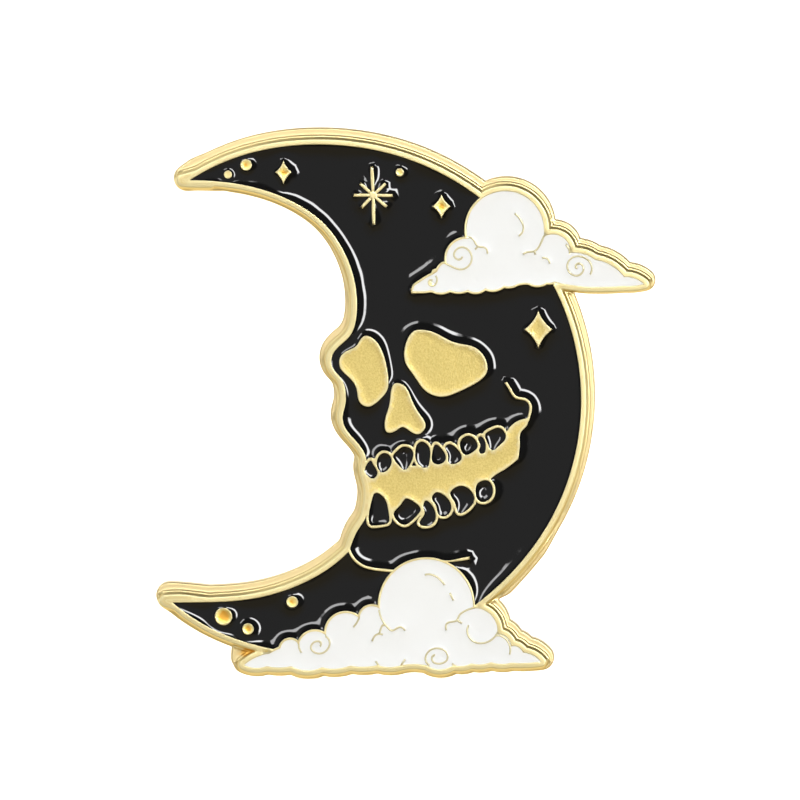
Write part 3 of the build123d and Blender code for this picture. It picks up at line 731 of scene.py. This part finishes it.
KEY_OFF_AXIS = math.radians(22)  # the strip lamps stand this far off the line straight out of the front
STRIP_HALF_WIDTH = math.radians(3.6)
STRIP_SOFT = (0.7, 1.3)  # a strip's side edges fade over this range of its half width
STRIP_END = 0.8  # and its ends from this part of its half length outwards
KEY_SPAN = (math.radians(-14), math.radians(78))  # round that line, from the right towards the top
SIDE_SPAN = (math.radians(104), math.radians(150))
KEY_POWER = 22.0
SIDE_POWER = 10.0
FRONT_LIGHT = 0.45
FRONT_NEAR = math.radians(16)  # the front's light ends this far off that line towards the lamps
FRONT_FAR = math.radians(44)  # and this far off towards the lower left
FRONT_FADE = math.radians(12)
FRONT_TURN = (-0.55, 0.30)  # cosines of the turn from AWAY_FROM_LAMPS between which it goes over
SIDE_LIGHT = 0.16
BACK_LIGHT = 1.0
BACK_NEAR = math.radians(60)  # the light from behind begins here all round
BACK_FAR = math.radians(118)  # except beyond the lamps, where it begins here
BACK_FADE = math.radians(20)
BACK_TURN = (-0.88, -0.55)  # cosines of the turn from NEAR_BACK between which it goes over
AWAY_FROM_LAMPS = math.radians(-135)  # turns are round the front's line, from the right towards the top
NEAR_BACK = math.radians(-125)
WARM = (1.0, 0.86, 0.58, 1)  # what comes up from below
WARM_HEIGHTS = (-0.1, -0.5)  # heights on the unit sphere between which it turns warm


def studio(nodes):
    """A pale front with two curved strip lamps beside it, dark to the sides, white paper behind."""
    way = nodes.make("ShaderNodeTexCoord", "Generated")
    split = nodes.make("ShaderNodeSeparateXYZ", inputs={0: way}).node
    x, y, z = split.outputs
    off = nodes.math("ARCCOSINE", nodes.math("MULTIPLY", y, -1.0))
    turn = nodes.math("ARCTAN2", z, x)
    toward = nodes.math("COSINE", nodes.math("SUBTRACT", turn, AWAY_FROM_LAMPS))
    end = nodes.ramp(toward, *FRONT_TURN, FRONT_NEAR, FRONT_FAR)
    past = nodes.math("DIVIDE", nodes.math("SUBTRACT", off, end), FRONT_FADE)
    front = nodes.ramp(past, 0.0, 1.0, FRONT_LIGHT, SIDE_LIGHT)
    toward = nodes.math("COSINE", nodes.math("SUBTRACT", turn, NEAR_BACK))
    begin = nodes.ramp(toward, *BACK_TURN, BACK_FAR, BACK_NEAR)
    past = nodes.math("DIVIDE", nodes.math("SUBTRACT", off, begin), BACK_FADE)
    behind = nodes.ramp(past, 0.0, 1.0, 0.0, BACK_LIGHT)
    total = nodes.math("ADD", front, behind)
    away = nodes.math("ABSOLUTE", nodes.math("SUBTRACT", off, KEY_OFF_AXIS))
    inner, outer = (STRIP_HALF_WIDTH * part for part in STRIP_SOFT)
    strip = nodes.ramp(away, inner, outer, 1.0, 0.0)
    for (start, end), power in ((KEY_SPAN, KEY_POWER), (SIDE_SPAN, SIDE_POWER)):
        middle, half = (start + end) / 2, (end - start) / 2
        beside = nodes.math("ABSOLUTE", nodes.math("SUBTRACT", turn, middle))
        lamp = nodes.ramp(beside, half * STRIP_END, half, power, 0.0)
        total = nodes.math("ADD", total, nodes.math("MULTIPLY", lamp, strip))
    seen = nodes.make("ShaderNodeLightPath", "Is Camera Ray")
    strength = nodes.make("ShaderNodeMix", 0, {0: seen, 2: total, 3: 1.0}, data_type="FLOAT")
    low = nodes.math("MULTIPLY", nodes.ramp(z, *WARM_HEIGHTS), nodes.math("SUBTRACT", 1.0, seen))
    tint = nodes.mix(low, (1, 1, 1, 1), WARM)
    shader = nodes.make("ShaderNodeBackground", inputs={"Color": tint, "Strength": strength})
    nodes.make("ShaderNodeOutputWorld", inputs={"Surface": shader})


world = bpy.data.worlds.new("studio")
world.use_nodes = True
studio(Nodes(world.node_tree))
bpy.context.scene.world = world


def soft_lamp(name, place, size, power):
    """A large soft lamp that fills without showing in the gloss."""
    data = bpy.data.lights.new(name, "AREA")
    data.size = size
    data.energy = power
    lamp = bpy.data.objects.new(name, data)
    lamp.location = place
    lamp.rotation_mode = "QUATERNION"
    lamp.rotation_quaternion = (-Vector(place)).to_track_quat("-Z", "Y")
    lamp.visible_glossy = False
    bpy.context.scene.collection.objects.link(lamp)


soft_lamp("front_fill", (0.15, -0.60, 0.50), 0.5, 1.5)
soft_lamp("top_fill", (0.0, 0.0, 0.9), 0.9, 1.2)
soft_lamp("back_fill", (-0.3, 0.6, 0.4), 0.5, 4.0)

CAMERA_FAR = 0.60
CAMERA_RIGHT = math.radians(2.5)
CAMERA_UP = math.radians(3.5)
FRAME_IN_HEIGHTS = 1.448  # the frame's side, in heights of the pin
AIM_SHIFT = Vector((-0.00039, 0.0, 0.00027))

camera_data = bpy.data.cameras.new("camera")
camera = bpy.data.objects.new("camera", camera_data)
bpy.context.scene.collection.objects.link(camera)
bpy.context.scene.camera = camera
out = Vector((math.sin(CAMERA_RIGHT) * math.cos(CAMERA_UP), -math.cos(CAMERA_RIGHT) * math.cos(CAMERA_UP),
              math.sin(CAMERA_UP)))
aim = (plate_low + plate_high) / 2 + AIM_SHIFT
camera.location = aim + out * CAMERA_FAR
camera.rotation_mode = "QUATERNION"
camera.rotation_quaternion = out.to_track_quat("Z", "Y")
camera_data.lens = camera_data.sensor_width * CAMERA_FAR / (plate_size.z * FRAME_IN_HEIGHTS)
camera_data.clip_start = 0.01
camera_data.clip_end = 30.0
bpy.context.scene.view_settings.view_transform = "Standard"
